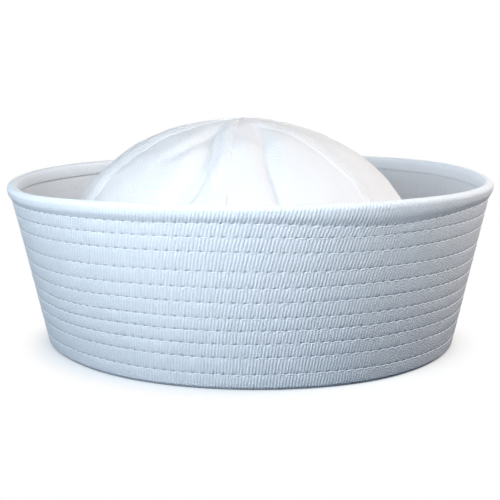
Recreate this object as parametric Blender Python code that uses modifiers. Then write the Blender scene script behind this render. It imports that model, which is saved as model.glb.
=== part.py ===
"""Sailor cap of white cotton: a crown of six gores inside a tall, upturned, quilted brim.

The cap stands on the folded bottom edge of its brim. The origin is the centre of that edge, at
the height of the surface it stands on. +Z is up, the front is towards -Y, and +X is to the right
as seen from the front. An azimuth is an angle seen from above: 0 at the front, 90 degrees at +X.
All sizes are in metres, all angles in degrees unless a name says otherwise.
"""

import math

import bmesh
import bpy
from mathutils import Vector

# Driving sizes of the brim
BASE_RADIUS = 0.0960  # outer face of the brim at its bottom edge
RIM_RADIUS = 0.1162  # outer face of the brim at the height of its rim
RIM_HEIGHT = 0.0807  # top of the rolled rim
BRIM_SEGMENTS = 72  # flat facets round the brim

# Cloth
OUTER_PLY = 0.0010  # drill on the outside of the brim
INNER_PLY = 0.0010  # cloth on the inside of the brim
CROWN_CLOTH = 0.0010  # twill of the crown
GAP = 0.0003  # clearance between two layers that lie on each other

# Quilting: height of each row of stitching up the slant of the brim, lowest row first
STITCH_ROWS = (0.0073, 0.0151, 0.0214, 0.0275, 0.0333, 0.0402, 0.0468, 0.0541, 0.0628, 0.0693, 0.0756)
CHANNEL_PUFF = 0.00035  # how far the cloth puffs out between two rows

# Rolled welt along the rim, above the highest row of stitching
WELT_PROUD = 0.00075  # how far it stands out from the brim
HOOK_DEPTH = 0.0070  # how far the outer ply turns down inside the rim
FOLD_RADIUS = 0.0016  # rounding of the bottom edge

# The soft brim isn't a true cone: how far it wanders from one, in millimetres, at each azimuth.
# rim_out and base_out are outwards, rim_up is upwards.
BRIM_WANDER = (
    # azimuth, rim_out, rim_up, base_out
    (0, 0.0, 0.0, 0.8),
    (30, 0.5, 0.0, 2.2),
    (60, -0.5, -0.5, 1.4),
    (90, -0.5, -0.5, 2.5),
    (120, 0.5, 1.0, 2.0),
    (150, 0.5, 0.8, 0.5),
    (180, 0.0, 1.0, 0.0),
    (210, -0.5, -0.2, 0.0),
    (240, -0.5, -0.5, 1.4),
    (270, -0.5, -1.2, 3.0),
    (300, 0.5, -2.0, -0.8),
    (330, 0.0, -0.5, -0.3),
)

# Crown: outer face of the cloth, from the hem up to the peak, in millimetres
CROWN_SECTIONS = (
    # height, radius
    (1.6, 92.1),
    (20.0, 92.8),
    (40.0, 90.3),
    (55.0, 85.7),
    (68.0, 78.4),
    (79.0, 69.8),
    (87.5, 60.8),
    (97.0, 45.7),
    (104.4, 25.5),
    (108.1, 0.0),
)
CROWN_LEAN = -0.0051  # the soft crown leans to the left of the brim by this much
LEAN_HEIGHT = 0.0650  # height at which the lean is complete
FOLLOW_HEIGHT = 0.0600  # below this the crown follows the brim's uneven bottom edge

# Gores and their felled seams. Each gore laps over the next one, going round to the right.
GORE_NAMES = ("front_right", "right", "back_right", "back_left", "left", "front_left")
FIRST_SEAM = -5.0  # azimuth of the seam at the front
GORE_ANGLE = 360.0 / len(GORE_NAMES)
GORE_PUFF = 0.0009  # how far the middle of a gore puffs out beyond its seams
LAP_WIDTH = 0.0060  # width of a felled seam
RAMP_WIDTH = 0.0030  # width over which the cloth climbs onto the next gore
LAP_FADE = (0.009, 0.020)  # the lap narrows to nothing between these radii, near the peak
LIFT_FADE = (0.003, 0.008)  # and lies flat within these
MOST_RAMP_ANGLE = 20.0
TIP_RADIUS = 0.0007  # each gore's point stops this far from the peak
MAIN_COLUMNS = 8  # strips across a gore, between its seams
# Distances of the rows of facets from the peak, along the cloth, in millimetres
GORE_ROWS = (3, 7.5, 13, 20, 29, 39, 50, 61, 72, 83, 95, 108, 122, 137, 152)

# Dents and drag lines in the crown. Each runs down the cloth from `start` to `end`, measured from
# the peak in millimetres, and swings from one azimuth to the other on the way.
CROWN_DENTS = (
    # start, end, azimuth at start, azimuth at end, depth, half width
    (14, 130, -21.0, -18.0, 2.0, 8.0),
    (16, 130, 8.0, 13.0, 1.6, 7.5),
    (12, 80, -27.0, -45.0, 1.1, 6.0),
    (18, 64, 96.0, 100.0, 1.2, 9.0),
    (25, 120, 36.0, 33.0, 0.8, 12.0),
    (20, 110, 205.0, 208.0, 1.0, 10.0),
)

CLOTH_COLOURS = {
    # material: base colour, roughness
    "white_drill": ((0.83, 0.86, 0.90, 1.0), 0.92),
    "white_lining_cloth": ((0.78, 0.80, 0.84, 1.0), 0.94),
    "white_twill": ((0.88, 0.90, 0.93, 1.0), 0.90),
}

MM = 0.001
SLANT_ANGLE = math.atan2(RIM_RADIUS - BASE_RADIUS, RIM_HEIGHT)


def clear_scene():
    for obj in list(bpy.data.objects):
        bpy.data.objects.remove(obj, do_unlink=True)


def new_collection(name):
    collection = bpy.data.collections.new(name)
    bpy.context.scene.collection.children.link(collection)
    return collection


def cloth_material(name):
    colour, roughness = CLOTH_COLOURS[name]
    material = bpy.data.materials.new(name)
    material.use_nodes = True
    material.diffuse_color = colour
    shader = material.node_tree.nodes["Principled BSDF"]
    shader.inputs["Base Color"].default_value = colour
    shader.inputs["Roughness"].default_value = roughness
    shader.inputs["Metallic"].default_value = 0.0
    return material


def add_object(name, mesh, material, collection):
    mesh.materials.append(material)
    mesh.shade_smooth()
    mesh.set_sharp_from_angle(angle=math.radians(50))
    obj = bpy.data.objects.new(name, mesh)
    collection.objects.link(obj)
    return obj


# Smooth curves through short tables


def ease(value, low, high):
    """0 below low, 1 above high, with a smooth rise between them."""
    share = min(max((value - low) / (high - low), 0.0), 1.0)
    return share * share * (3.0 - 2.0 * share)


def bump(offset, half_width):
    """1 at offset 0, falling smoothly to 0 at half_width to either side."""
    return 0.5 + 0.5 * math.cos(math.pi * min(abs(offset) / half_width, 1.0))


def through(before, first, second, after, share):
    """A point between first and second on the Catmull-Rom curve through four values."""
    slope_in = 0.5 * (second - before)
    slope_out = 0.5 * (after - first)
    cube = 2.0 * first - 2.0 * second + slope_in + slope_out
    square = -3.0 * first + 3.0 * second - 2.0 * slope_in - slope_out
    return ((cube * share + square) * share + slope_in) * share + first


def around(table, column, azimuth):
    """The table's value at an azimuth, on a smooth curve that closes on itself."""
    count = len(table)
    place = (azimuth % 360.0) / 360.0 * count
    row = int(place)
    values = [table[(row + step) % count][column] for step in (-1, 0, 1, 2)]
    return through(*values, place - row)


# Brim


def brim_point(up, out):
    """(radius, height) of a point `up` the slant of the brim and `out` from its outer face."""
    radius = BASE_RADIUS + up * math.sin(SLANT_ANGLE) + out * math.cos(SLANT_ANGLE)
    return radius, up * math.cos(SLANT_ANGLE) - out * math.sin(SLANT_ANGLE)


def up_at_height(height, out):
    """The distance up the slant at which a layer `out` from the outer face has this height."""
    return (height + out * math.sin(SLANT_ANGLE)) / math.cos(SLANT_ANGLE)


INNER_FACE = -OUTER_PLY - GAP - INNER_PLY  # of the inner ply, from the brim's outer face
HOOK_INNER = INNER_FACE - GAP  # side of the hook that holds the inner ply
ROLL_TOP = up_at_height(RIM_HEIGHT, 0.5 * INNER_FACE)
HEM_OUTER = BASE_RADIUS + INNER_FACE - GAP  # outermost cloth of the crown's hem
HEM_INNER = HEM_OUTER - 2.0 * CROWN_CLOTH - GAP


def bottom_fold():
    """The outer ply's turn under the brim: inner corner, flat foot, rounded outer edge."""
    corner = brim_point(up_at_height(OUTER_PLY, -OUTER_PLY), -OUTER_PLY)
    points = [corner, (HEM_INNER, OUTER_PLY), (HEM_INNER, 0.0)]
    centre = BASE_RADIUS - FOLD_RADIUS
    for angle in (0, 30, 60):
        turn = math.radians(angle)
        points.append((centre + FOLD_RADIUS * math.sin(turn), FOLD_RADIUS * (1.0 - math.cos(turn))))
    return points


def quilted_face():
    """The outside of the brim: a line at each row of stitching and a puffed channel below it."""
    points = []
    below = FOLD_RADIUS
    for row in STITCH_ROWS:
        points.append(brim_point(0.5 * (below + row), CHANNEL_PUFF))
        points.append(brim_point(row, 0.0))
        below = row
    return [brim_point(FOLD_RADIUS, 0.0)] + points


def rolled_welt():
    """The rim: the welt's outside, its round top, and the hook that holds the inner ply."""
    stitched = STITCH_ROWS[-1]
    height = ROLL_TOP - stitched
    hook_back = HOOK_INNER - OUTER_PLY
    half = 0.5 * (WELT_PROUD - hook_back)
    middle = WELT_PROUD - half
    outline = [
        (stitched + 0.14 * height, 0.75 * WELT_PROUD),
        (stitched + 0.42 * height, WELT_PROUD),
    ]
    for angle in (20, 50, 90, 130, 160):
        turn = math.radians(angle)
        rise = ROLL_TOP - 0.9 * half * (1.0 - math.sin(turn))
        outline.append((rise, middle + half * math.cos(turn)))
    outline += [
        (ROLL_TOP - 0.62 * HOOK_DEPTH, hook_back),
        (ROLL_TOP - 0.90 * HOOK_DEPTH, hook_back + 0.2 * OUTER_PLY),
        (ROLL_TOP - HOOK_DEPTH, hook_back + 0.6 * OUTER_PLY),
        (ROLL_TOP - HOOK_DEPTH, HOOK_INNER),
        (ROLL_TOP - 1.3 * OUTER_PLY, HOOK_INNER),
        (ROLL_TOP - OUTER_PLY, 0.5 * INNER_FACE),
        (ROLL_TOP - 1.3 * OUTER_PLY, -OUTER_PLY),
    ]
    return [brim_point(up, out) for up, out in outline]


def inner_ply_profile():
    outer = -OUTER_PLY - GAP
    low = up_at_height(OUTER_PLY + GAP, outer)
    high = ROLL_TOP - 1.3 * OUTER_PLY - GAP
    return [brim_point(*place) for place in ((low, outer), (high, outer), (high, INNER_FACE), (low, INNER_FACE))]


def wander(position):
    """Moves a point of the true cone to where the soft brim has it."""
    azimuth = math.degrees(math.atan2(position.x, -position.y))
    share = position.z / RIM_HEIGHT
    out = around(BRIM_WANDER, 3, azimuth) * (1.0 - share) + around(BRIM_WANDER, 1, azimuth) * share
    sideways = Vector((position.x, position.y, 0.0)).normalized()
    return position + sideways * out * MM + Vector((0.0, 0.0, around(BRIM_WANDER, 2, azimuth) * share * MM))


def brim_ring(name, profile, material, collection):
    """Turns a closed profile round the cap, then lets it wander."""
    bm = bmesh.new()
    verts = [bm.verts.new((0.0, -radius, height)) for radius, height in profile]
    edges = [bm.edges.new((vert, verts[index - 1])) for index, vert in enumerate(verts)]
    bmesh.ops.spin(
        bm,
        geom=verts + edges,
        cent=(0.0, 0.0, 0.0),
        axis=(0.0, 0.0, 1.0),
        angle=math.tau,
        steps=BRIM_SEGMENTS,
        use_merge=True,
    )
    for vert in bm.verts:
        vert.co = wander(vert.co)
    bmesh.ops.recalc_face_normals(bm, faces=bm.faces)
    mesh = bpy.data.meshes.new(name)
    bm.to_mesh(mesh)
    bm.free()
    return add_object(name, mesh, material, collection)


# Crown


def crown_curve(steps_per_section=12):
    """The crown's profile as (distance from the peak, radius, height), from the peak to the hem."""
    rows = [(height * MM, radius * MM) for height, radius in reversed(CROWN_SECTIONS)]
    peak, first = rows[0], rows[1]
    last, previous = rows[-1], rows[-2]
    rows = [(first[0], -first[1])] + rows
    rows.append((2.0 * last[0] - previous[0], 2.0 * last[1] - previous[1]))
    curve = [(0.0, peak[1], peak[0])]
    for index in range(1, len(rows) - 2):
        for step in range(1, steps_per_section + 1):
            share = step / steps_per_section
            height, radius = (
                through(*[row[axis] for row in rows[index - 1 : index + 3]], share) for axis in (0, 1)
            )
            distance = curve[-1][0] + math.hypot(radius - curve[-1][1], height - curve[-1][2])
            curve.append((distance, radius, height))
    return curve


CROWN_CURVE = crown_curve()
HEM_DISTANCE = CROWN_CURVE[-1][0]


def on_crown_curve(distance):
    """(radius, height, outward slope angle) of the crown at a distance from the peak."""
    for before, after in zip(CROWN_CURVE, CROWN_CURVE[1:]):
        if distance <= after[0]:
            break
    share = (distance - before[0]) / (after[0] - before[0])
    radius = before[1] + share * (after[1] - before[1])
    height = before[2] + share * (after[2] - before[2])
    return radius, height, math.atan2(before[2] - after[2], after[1] - before[1])


def dents(azimuth, distance, radius):
    """How far the cloth sinks in at this place, in metres."""
    depth = 0.0
    for start, end, from_azimuth, to_azimuth, deep, half_width in CROWN_DENTS:
        share = (distance / MM - start) / (end - start)
        if 0.0 < share < 1.0:
            line = from_azimuth + share * (to_azimuth - from_azimuth)
            aside = math.radians((azimuth - line + 180.0) % 360.0 - 180.0) * radius
            fade = ease(share, 0.0, 0.3) * (1.0 - ease(share, 0.6, 1.0))
            depth += deep * MM * fade * bump(aside, half_width * MM)
    return depth


def crown_point(azimuth, distance, lift):
    """A point of the crown, lifted off the outer face of the cloth by `lift`."""
    radius, height, slope = on_crown_curve(distance)
    from_seam = ((azimuth - FIRST_SEAM) % GORE_ANGLE) / GORE_ANGLE
    puff = GORE_PUFF * math.sin(math.pi * from_seam) ** 2
    puff *= ease(distance, 0.010, 0.040) * (1.0 - ease(distance, 0.110, 0.150))
    out = lift + puff - dents(azimuth, distance, radius)
    radius += out * math.sin(slope)
    radius += around(BRIM_WANDER, 3, azimuth) * MM * (1.0 - ease(height, 0.0, FOLLOW_HEIGHT))
    height += out * math.cos(slope)
    turn = math.radians(azimuth)
    lean = CROWN_LEAN * ease(height, 0.0, LEAN_HEIGHT)
    return Vector((radius * math.sin(turn) + lean, -radius * math.cos(turn), height))


def gore_columns(start, radius):
    """(azimuth, lift) of each column of a gore, from its hidden edge to the edge of its lap."""
    end = start + GORE_ANGLE
    width = LAP_WIDTH * ease(radius, *LAP_FADE)
    lift = (CROWN_CLOTH + GAP) * ease(radius, *LIFT_FADE)
    lap = math.degrees(width / radius)
    clearance = math.degrees(GAP / radius)
    ramp = min(math.degrees(RAMP_WIDTH / radius), MOST_RAMP_ANGLE)
    foot = end - lap - ramp
    columns = [(start - lap + clearance, 0.0)]
    for column in range(MAIN_COLUMNS + 1):
        columns.append((start + clearance + (foot - start - clearance) * column / MAIN_COLUMNS, 0.0))
    columns += [(end - lap - 0.02 * ramp, lift), (end - 0.5 * lap - 0.01 * ramp, lift), (end, lift)]
    return columns


def gore(name, start, material, collection):
    """One gore of the crown: a shaped sheet given the thickness of its cloth."""
    tip = TIP_RADIUS
    distances = [tip] + [row * MM for row in GORE_ROWS] + [HEM_DISTANCE]
    column_count = len(gore_columns(start, BASE_RADIUS))
    bm = bmesh.new()
    bmesh.ops.create_grid(bm, x_segments=column_count - 1, y_segments=len(distances) - 1, size=0.5)
    for vert in bm.verts:
        column = round((vert.co.x + 0.5) * (column_count - 1))
        distance = distances[round((0.5 - vert.co.y) * (len(distances) - 1))]
        azimuth, lift = gore_columns(start, on_crown_curve(distance)[0])[column]
        vert.co = crown_point(azimuth, distance, lift)
    mesh = bpy.data.meshes.new(name)
    bm.to_mesh(mesh)
    bm.free()
    obj = add_object(name, mesh, material, collection)
    wall = obj.modifiers.new("cloth thickness", "SOLIDIFY")
    wall.thickness = CROWN_CLOTH
    wall.offset = -1.0
    wall.use_even_offset = True
    wall.use_quality_normals = True
    return obj


def build():
    clear_scene()
    cap = new_collection("sailor_cap")
    drill = cloth_material("white_drill")
    lining = cloth_material("white_lining_cloth")
    twill = cloth_material("white_twill")
    brim_ring("brim_outer_ply", bottom_fold() + quilted_face() + rolled_welt(), drill, cap)
    brim_ring("brim_inner_ply", inner_ply_profile(), lining, cap)
    for index, place in enumerate(GORE_NAMES):
        gore("crown_gore_" + place, FIRST_SEAM + index * GORE_ANGLE, twill, cap)


build()
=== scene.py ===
"""Dresses the sailor cap: fine cloth, quilting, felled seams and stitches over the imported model.

Sizes are in metres where nothing else is said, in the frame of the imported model: the cap stands on
z = 0, its front is towards -Y, and +X is to the right as seen from the front. An azimuth is an
angle in degrees seen from above, 0 at the front and 90 at +X.
"""

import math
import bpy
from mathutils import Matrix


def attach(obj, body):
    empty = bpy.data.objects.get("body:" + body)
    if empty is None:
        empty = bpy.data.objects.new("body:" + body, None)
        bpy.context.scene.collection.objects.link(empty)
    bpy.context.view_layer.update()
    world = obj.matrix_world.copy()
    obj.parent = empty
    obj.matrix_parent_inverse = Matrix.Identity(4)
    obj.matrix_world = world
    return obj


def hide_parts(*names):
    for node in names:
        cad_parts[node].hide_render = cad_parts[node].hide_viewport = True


bl_info = {
    "name": "Sailor Cap",
    "version": (1, 0, 0),
    "blender": (4, 5, 0),
    "location": "3D View > Sidebar > Sailor Cap",
    "description": "Makes a white cotton sailor cap with a quilted, upturned brim, and its studio",
    "category": "Object",
}

from functools import partialmethod

import bmesh
import bpy
import numpy as np
from bpy.props import FloatProperty, FloatVectorProperty, IntProperty, PointerProperty
from mathutils import Vector

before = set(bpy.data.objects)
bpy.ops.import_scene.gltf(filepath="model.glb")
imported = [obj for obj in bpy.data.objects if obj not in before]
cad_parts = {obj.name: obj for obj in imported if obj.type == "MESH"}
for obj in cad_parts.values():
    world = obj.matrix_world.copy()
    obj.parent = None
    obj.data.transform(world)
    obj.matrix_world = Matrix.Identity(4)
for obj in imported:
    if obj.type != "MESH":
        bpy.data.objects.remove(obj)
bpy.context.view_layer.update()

MM = 0.001
BODY = "root"

# The rows of stitching round the brim, lowest row first
STITCH_ROWS = (
    # height up the slant, stitches all round, place of the front in its stitch
    (0.0073, 140, 0.36),
    (0.0151, 138, 0.57),
    (0.0214, 139, 0.55),
    (0.0275, 138, 0.11),
    (0.0333, 141, 0.09),
    (0.0402, 140, 0.50),
    (0.0468, 142, 0.05),
    (0.0541, 143, 0.51),
    (0.0628, 146, 0.76),
    (0.0693, 145, 0.77),
    (0.0756, 154, 0.40),
)
ROW_HEIGHTS = tuple(row[0] for row in STITCH_ROWS)

# How far the soft brim wanders from a true cone, and its top rows sag, in millimetres
BRIM_WANDER = (
    # azimuth, rim_out, rim_up, base_out, rows_down
    (0, 0.0, 0.0, 0.8, 0.4),
    (30, 0.5, 0.0, 2.2, 3.4),
    (60, -0.5, -0.5, 1.4, 0.4),
    (90, -0.5, -0.5, 2.5, 0.0),
    (120, 0.5, 1.0, 2.0, 0.0),
    (150, 0.5, 0.8, 0.5, 0.0),
    (180, 0.0, 1.0, 0.0, 0.0),
    (210, -0.5, -0.2, 0.0, 0.0),
    (240, -0.5, -0.5, 1.4, 0.0),
    (270, -0.5, -1.2, 3.0, 0.0),
    (300, 0.5, -2.0, -0.8, 0.0),
    (330, 0.0, -0.5, -0.3, 0.8),
)
RIM_OUT, RIM_UP, BASE_OUT, ROWS_DOWN = 1, 2, 3, 4  # columns of that table

# How much of rows_down the brim sags by: height up the slant in millimetres, share
SAG_SHARE = ((48.0, 0.0), (54.1, 0.12), (62.8, 0.48), (69.3, 0.38), (75.6, 1.0), (82.5, 0.0))

# The welt from the top row upwards: shares of its height and of how far it stands out
WELT_SHAPE = ((0.0, 0.0), (0.12, 0.16), (0.25, 0.50), (0.38, 0.84), (0.52, 1.0), (0.68, 0.97))
# The lower edge of the cloth turned down inside: share of its depth, plies that it rounds over
HOOK_SHAPE = ((0.62, 0.0), (0.88, 0.3), (1.0, 0.8))
LIP = 1.3  # plies from the top of the roll down to the edge that it holds

# Outer face of the crown, from the hem up to the peak, in millimetres
CROWN_SECTIONS = (
    # height, radius
    (1.6, 92.1),
    (20.0, 92.8),
    (40.0, 90.3),
    (55.0, 85.7),
    (68.0, 78.4),
    (79.0, 69.8),
    (87.5, 60.8),
    (97.0, 45.7),
    (104.4, 25.5),
    (108.1, 0.0),
)

# Dents and drag lines in the crown, in millimetres and degrees, each running down the cloth
CROWN_DENTS = (
    # width left and right of the crease, then rows of distance from the peak, azimuth, depth.
    # The depth is that of a sharp crease, and rounding leaves 0.81 of it.
    (12.0, 7.5, (
        (12, -33.0, 0.0), (24, -27.0, 2.4), (34, -21.5, 3.8), (48, -16.0, 5.2),
        (62, -16.0, 6.6), (76, -18.8, 8.0), (92, -22.5, 6.0), (125, -25.0, 0.0),
    )),
    (9.5, 8.5, (
        (14, 24.0, 0.0), (24, 21.0, 2.8), (34, 17.8, 4.0), (46, 14.8, 4.8),
        (62, 13.6, 5.5), (76, 14.4, 6.0), (92, 15.0, 4.0), (120, 15.0, 0.0),
    )),
    (7.5, 8.0, (
        (18, -26.0, 0.0), (28, -27.5, 1.7), (38, -28.7, 2.1),
        (46, -31.5, 1.9), (54, -35.0, 1.2), (64, -40.0, 0.0),
    )),
    (11.0, 11.0, ((18, 96.0, 0.0), (36, 97.5, 1.0), (64, 100.0, 0.0))),
    (12.0, 12.0, ((20, 205.0, 0.0), (60, 206.5, 0.9), (110, 208.0, 0.0))),
)
CREASE_ROUNDING = 0.01

GORE_NAMES = ("front_right", "right", "back_right", "back_left", "left", "front_left")
GORE_ANGLE = 360.0 / len(GORE_NAMES)

# How far the drill's wales lean against the slant: height up it in millimetres, degrees
WALE_LEAN = ((0, 5.5), (20, 7.5), (38, 9.5), (60, 11.8), (72, 14.0), (84, 15.5))
# The brim's radius for the weave, in millimetres: at its foot, its growth up the slant, half way
FOOT_RADIUS, RADIUS_GROWTH, MIDDLE_RADIUS = 96.0, 0.243, 106.0

FAR = 1.0  # a distance from a row of stitching that means there is none here
NO_ROW = 20.0  # the same in millimetres, for the stitching map
PLAIN = (0.0, FAR, 0.0, 1.0)  # puff, distance from a row, pucker and side where nothing is quilted

# The photograph's camera, whose lens is given in pixels of its frame
PHOTO_WIDTH, FOCAL_LENGTH, SHIFT = 500.0, 1236.0, -0.75
SENSOR_WIDTH = 36.0  # millimetres
CAMERA_PLACE = (0.0, -0.599, 0.143)
CAMERA_TILT = 9.4  # degrees down
LIGHT_AIM = Vector((0.0, 0.0, 0.05))

LIGHTS = (
    # name, azimuth, elevation, distance, size, power, tint
    ("key_light", -30.0, 25.0, 0.50, 0.3, 1.34, (0.78, 0.895, 1.0)),
    ("front_light", 0.0, 25.0, 0.50, 0.3, 0.97, (0.85, 0.935, 1.0)),
    ("right_light", 90.0, 35.0, 0.36, 0.2, 0.45, (1.0, 0.93, 0.87)),
    ("left_fill", -60.0, 12.0, 1.60, 0.8, 7.6, (0.74, 0.885, 1.0)),
    ("right_fill", 90.0, 38.0, 1.60, 0.8, 8.9, (1.0, 0.95, 0.91)),
    ("back_light", 175.0, 4.0, 1.60, 0.3, 6.0, (0.90, 0.93, 1.0)),
    ("back_left_light", -130.0, 4.0, 1.60, 0.3, 4.0, (0.85, 0.92, 1.0)),
)
WHITE = (1.0, 1.0, 1.0, 1.0)


def number(name, description, default, **more):
    return FloatProperty(name=name, description=description, default=default, **more)


def length(name, description, default):
    return number(name, description, default, unit="LENGTH", precision=5)


def whole(name, description, default, **more):
    return IntProperty(name=name, description=description, default=default, **more)


def colour(name, description, default):
    return FloatVectorProperty(
        name=name, description=description, default=default, subtype="COLOR", min=0.0, max=1.0
    )


class BrimSettings(bpy.types.PropertyGroup):
    base_radius: length("Base radius", "Outer face of the brim at its bottom edge", 0.0960)
    rim_radius: length("Rim radius", "Outer face of the brim at the height of its rim", 0.1162)
    rim_height: length("Rim height", "Top of the rolled rim", 0.0807)
    ply: length("Ply", "Thickness of each layer of the brim", 0.0010)
    gap: length("Gap", "Clearance between two layers", 0.0003)
    fold_radius: length("Fold radius", "Rounding of the bottom edge", 0.0016)
    welt_proud: length("Welt", "How far the rolled welt stands out", 0.0010)
    hook_depth: length("Hook depth", "How far the outer cloth turns down inside", 0.0070)
    puff: length("Channel puff", "How far the cloth puffs out between two rows", 0.00008)
    sink: length("Row sink", "How far a row of stitching draws the cloth in", 0.00008)
    sink_width: length("Row sink width", "Half width of the groove along a row", 0.0008)
    pucker: length("Pucker", "Height of the small upright wrinkles in a channel", 0.00011)
    pucker_size: length("Pucker size", "Distance between those wrinkles", 0.0052)
    drift: length("Row drift", "How far the rows of stitching wander up and down", 0.00035)
    columns: whole("Columns", "Strips of facets round the brim", 640, min=72)


class CrownSettings(bpy.types.PropertyGroup):
    cloth: length("Cloth", "Thickness of the crown's cloth", 0.0010)
    lean: length("Lean", "How far the soft crown leans to the right", -0.0051)
    lean_height: length("Lean height", "Height at which the lean is complete", 0.0650)
    follow_height: length("Follow height", "Below it the crown follows the brim's edge", 0.0600)
    first_seam: number("First seam", "Azimuth in degrees of the front seam", -5.0)
    puff: length("Gore puff", "How far the middle of a gore puffs out", 0.0009)
    lap: length("Lap", "Width of a felled seam", 0.0060)
    ramp: length("Ramp", "Width over which the cloth climbs onto the next gore", 0.0030)
    lap_rise: length("Lap rise", "Height of the lap where the cloth has climbed up", 0.00075)
    fold_rise: length("Fold rise", "Height of the lap at its folded edge", 0.00030)
    fold_width: length("Fold width", "Width over which the folded edge rounds down", 0.00090)
    lap_gap: length("Lap gap", "Clearance under the lap", 0.00003)
    edge_row: length("Edge row", "First row of topstitching, from the fold", 0.0012)
    inner_row: length("Second row", "Second row of topstitching, from the fold", 0.0052)
    seam_ridge: length("Seam ridge", "How far the felled seam puffs between its rows", 0.00020)
    wrinkle: length("Wrinkle", "Height of the soft unevenness of the cloth", 0.00030)


class StitchSettings(bpy.types.PropertyGroup):
    brim_run: length("Brim stitch", "Length of a stitch of the brim", 0.0044)
    seam_pitch: length("Seam pitch", "Distance between two stitches of a crown seam", 0.0025)
    thread: length("Thread radius", "Half the thread's thickness outside the brim", 0.00017)
    fine_thread: length("Fine thread radius", "The same for crown and inner cloth", 0.00013)
    rise: length("Start rise", "How far a stitch climbs from its left end", 0.0007)
    unevenness: number("Unevenness", "How much stitches turn aside", 0.07, unit="ROTATION")
    seed: whole("Seed", "Start of the random differences", 7)


class ClothSettings(bpy.types.PropertyGroup):
    drill: colour("Drill", "Cloth on the outside of the brim", (0.80, 0.825, 0.86))
    lining: colour("Inner cloth", "Cloth on the inside of the brim", (0.70, 0.715, 0.74))
    twill: colour("Twill", "Cloth of the crown", (0.865, 0.85, 0.86))
    thread: colour("Thread", "Sewing thread", (0.85, 0.87, 0.905))
    wales: whole("Wales", "Number of the drill's wales round the brim", 455)
    wale_depth: length("Wale depth", "Depth of the grooves between wales", 0.00018)
    twill_pitch: length("Twill pitch", "Distance between the crown's twill lines", 0.0009)
    twill_depth: length("Twill depth", "Depth of the crown's twill lines", 0.00013)


class StageSettings(bpy.types.PropertyGroup):
    lights: number("Lights", "Brightness of all lights together", 1.0, min=0.0)
    sky: number("Sky", "Strength of the white surroundings", 0.1, min=0.0)
    floor: colour("Floor", "Colour of the floor as it is seen", (0.90, 0.90, 0.90))
    bounce: colour("Bounce", "Light thrown back away from the cap", (0.40, 0.40, 0.42))
    contact: colour("Contact shade", "Light thrown back close to the cap", (0.02, 0.05, 0.10))


# Smooth curves and patterns


def ease(value, low, high):
    """0 below low, 1 above high, with a smooth rise between them."""
    share = np.clip((value - low) / (high - low), 0.0, 1.0)
    return share * share * (3.0 - 2.0 * share)


def read_off(table, value):
    """The second column of a table where its first column has this value."""
    return np.interp(value, *np.array(table, float).T)


def through(before, first, second, after, share):
    """A point between first and second on the Catmull-Rom curve through four values."""
    slope_in = 0.5 * (second - before)
    slope_out = 0.5 * (after - first)
    cube = 2.0 * first - 2.0 * second + slope_in + slope_out
    square = -3.0 * first + 3.0 * second - 2.0 * slope_in - slope_out
    return ((cube * share + square) * share + slope_in) * share + first


def around(column, azimuth):
    """A column of BRIM_WANDER at these azimuths, on a smooth curve that closes on itself."""
    table = np.array(BRIM_WANDER, float)[:, column]
    place = np.mod(azimuth, 360.0) / 360.0 * len(table)
    row = np.floor(place).astype(int)
    values = [table[(row + step) % len(table)] for step in (-1, 0, 1, 2)]
    return through(*values, place - row)


def smooth_path(points, steps):
    """More points, on the smooth curve through these."""
    rows = [np.array(row, float) for row in (points[0], *points, points[-1])]
    path = []
    for index in range(1, len(rows) - 2):
        for step in range(steps):
            path.append(tuple(through(*rows[index - 1 : index + 3], step / steps)))
    return path + [tuple(points[-1])]


def soft_noise(seed, size, *place):
    """A smooth pattern, mostly between -1 and 1, with humps about `size` across."""
    rng = np.random.default_rng(seed)
    total = 0.0
    waves = 9
    for _ in range(waves):
        direction = rng.normal(size=len(place))
        direction *= rng.uniform(0.6, 1.4) * math.pi / size / np.linalg.norm(direction)
        start = rng.uniform(0.0, math.tau)
        total = total + np.sin(sum(axis * part for axis, part in zip(place, direction)) + start)
    return total * math.sqrt(2.0 / waves) * 0.7


def spin(radius, height, azimuth):
    """Points at these distances from the cap's axis, heights and azimuths."""
    turn = np.radians(azimuth)
    parts = radius * np.sin(turn), -radius * np.cos(turn), height
    return np.stack(np.broadcast_arrays(*parts), axis=-1)


def ring_faces(rings, columns, closed):
    """Quads between rings of `columns` points, and from the last ring to the first if closed."""
    ring, column = np.divmod(np.arange((rings if closed else rings - 1) * columns), columns)
    here, above, right = ring * columns, (ring + 1) % rings * columns, (column + 1) % columns
    corners = here + column, here + right, above + right, above + column
    return np.stack(corners, axis=1).tolist()


# Shape of the brim


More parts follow.
